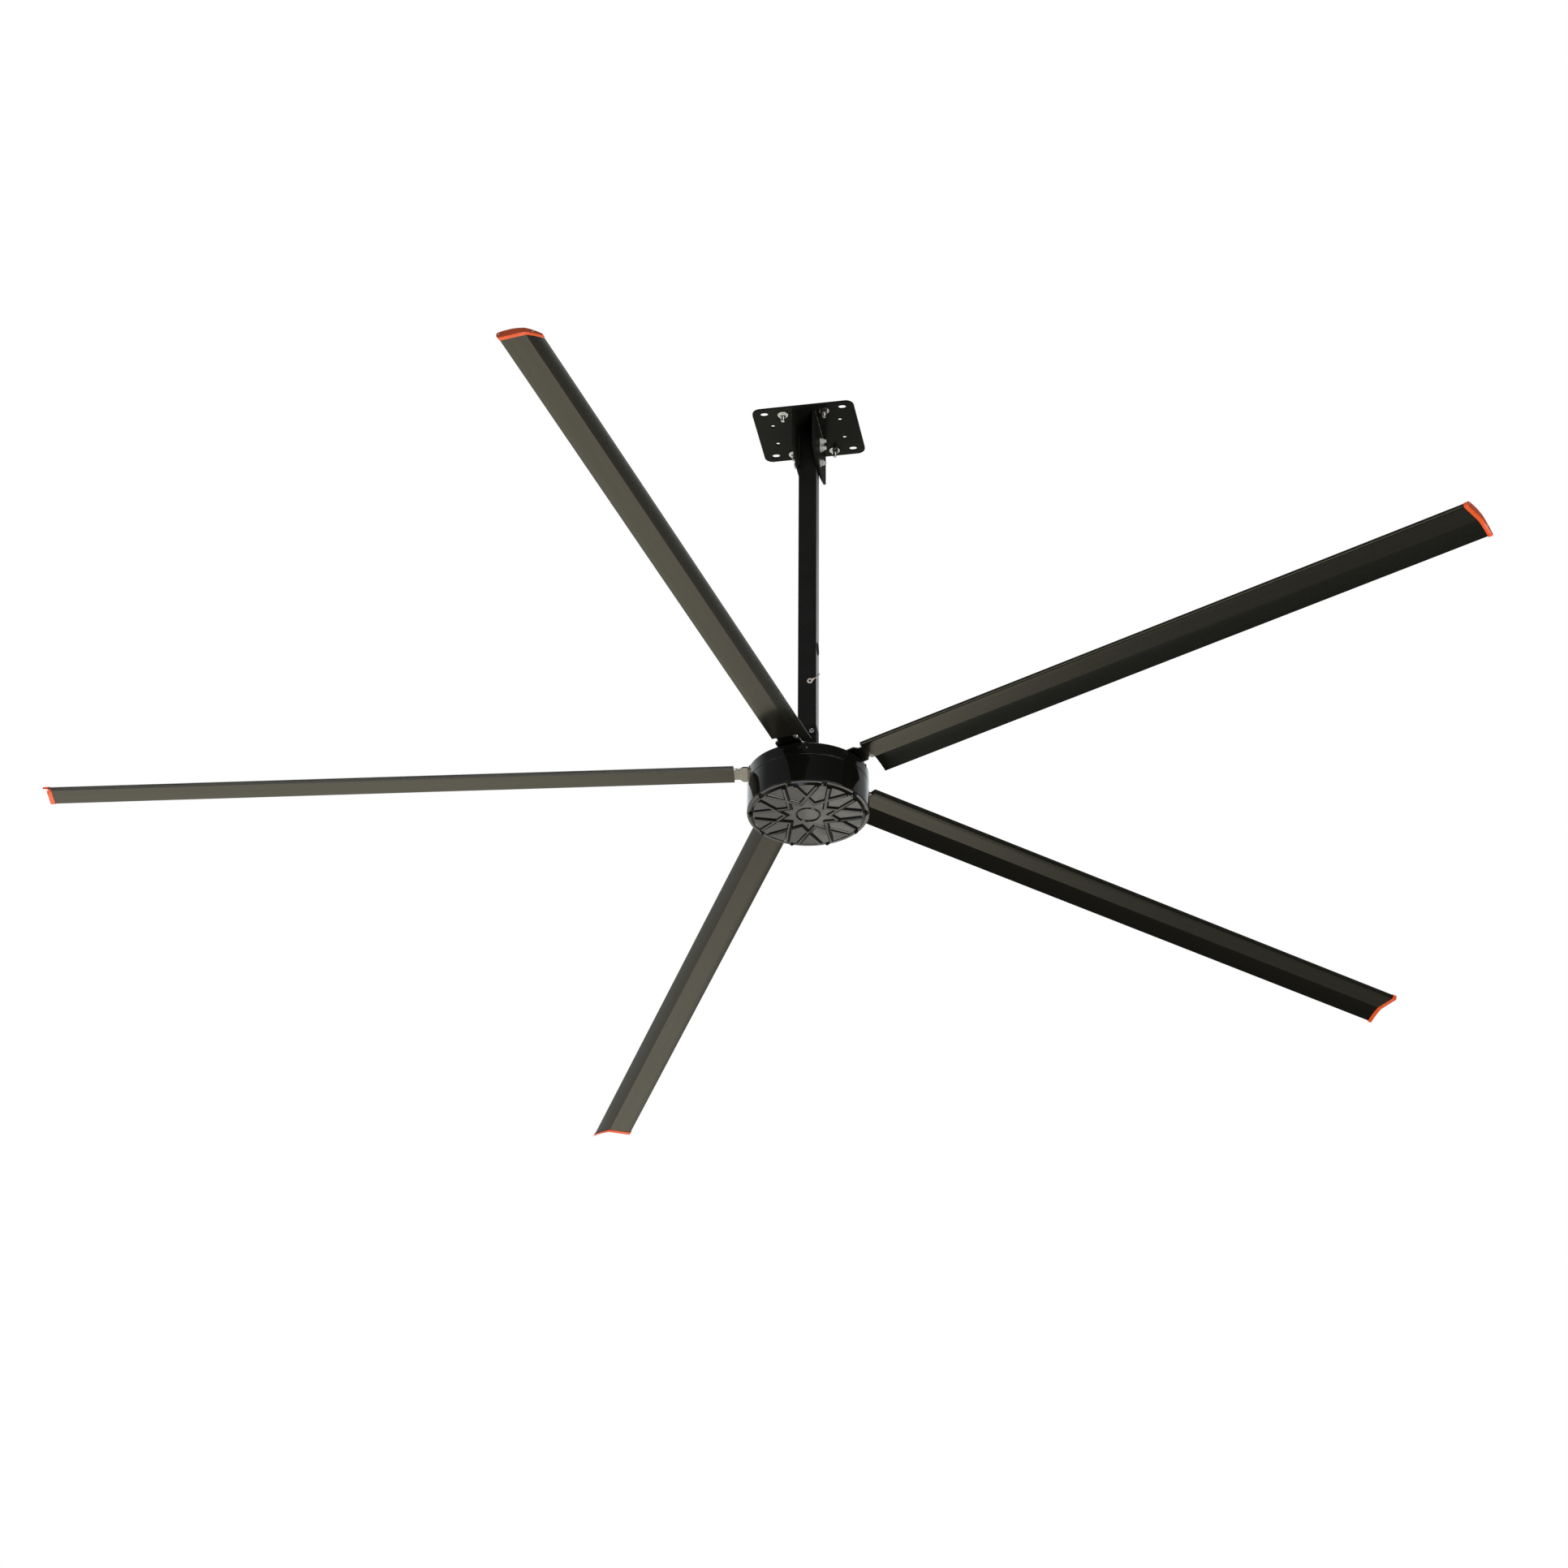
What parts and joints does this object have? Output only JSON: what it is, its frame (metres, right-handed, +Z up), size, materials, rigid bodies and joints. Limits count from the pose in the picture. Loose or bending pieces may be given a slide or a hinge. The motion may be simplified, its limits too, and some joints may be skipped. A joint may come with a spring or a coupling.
{
  "type": "high volume low speed ceiling fan",
  "caption": "Large slow ceiling fan: dark hollow blades with orange end caps on a black motor hub, hung by a square tube from a bolted ceiling plate.",
  "frame": {"origin": "centre of the ceiling plate's flat top face, on the rotor's axis", "axes": "+Z up along the down tube and the rotor's axis; +X and +Y along the ceiling plate's edges, with the cheeks on the -X and +X sides of the tube"},
  "size_m": [5.8299, 5.8388, 1.9419],
  "materials": {
    "black_coat": "satin black powder coat on steel",
    "hub_black": "glossy black paint on cast aluminium",
    "blade_bronze": "dark bronze anodised, brushed along its length",
    "orange_cap": "moulded orange plastic",
    "zinc": "bright zinc plating",
    "iron_metal": "bright plated steel with a warm tint",
    "steel": "machined steel",
    "core_steel": "varnished laminations",
    "copper_winding": "varnished copper wire",
    "magnet_grey": "plated magnets",
    "terminal_metal": "pale plated terminal",
    "screw_red": "dark reddish plated screw",
    "rubber_black": "moulded rubber",
    "lead_sheath": "pale plastic sheath"
  },
  "bodies": {
    "frame": {"ceiling_plate": "black_coat", "cheek_left": "black_coat", "cheek_right": "black_coat", "plate_bolt_1": "zinc", "plate_bolt_2": "zinc", "plate_bolt_3": "zinc", "plate_bolt_4": "zinc", "plate_washer_1": "zinc", "plate_washer_2": "zinc", "plate_washer_3": "zinc", "plate_washer_4": "zinc", "plate_nut_1": "zinc", "plate_nut_2": "zinc", "plate_nut_3": "zinc", "plate_nut_4": "zinc", "cross_bolt_1": "zinc", "cross_bolt_2": "zinc", "cross_bolt_3": "zinc", "cross_nut_1": "zinc", "cross_nut_2": "zinc", "cross_nut_3": "zinc", "down_tube": "black_coat", "cable_grommet": "rubber_black", "lead_grommet": "rubber_black", "ring_terminal": "terminal_metal", "terminal_screw": "screw_red", "earth_lead": "lead_sheath", "motor_yoke": "black_coat", "yoke_bolt_1": "zinc", "yoke_bolt_2": "zinc", "yoke_nut_1": "zinc", "yoke_nut_2": "zinc", "stator_shaft": "steel", "shaft_nut": "zinc", "stator_carrier": "steel", "stator_core": "core_steel", "winding_upper": "copper_winding", "winding_lower": "copper_winding"},
    "rotor": {"upper_bearing": "steel", "lower_bearing": "steel", "magnet_ring": "magnet_grey", "hub_top_cover": "hub_black", "hub_drum": "hub_black", "hub_bottom_cover": "hub_black", "blade_iron_1": "iron_metal", "blade_iron_2": "iron_metal", "blade_iron_3": "iron_metal", "blade_iron_4": "iron_metal", "blade_iron_5": "iron_metal", "blade_1": "blade_bronze", "blade_2": "blade_bronze", "blade_3": "blade_bronze", "blade_4": "blade_bronze", "blade_5": "blade_bronze", "end_cap_1": "orange_cap", "end_cap_2": "orange_cap", "end_cap_3": "orange_cap", "end_cap_4": "orange_cap", "end_cap_5": "orange_cap"}
  },
  "joints": [
    {"name": "rotor_spin", "type": "hinge", "parent": "frame", "child": "rotor", "pos_m": [0, 0, -1.7494], "axis": [0, 0, 1], "continuous": true}
  ]
}
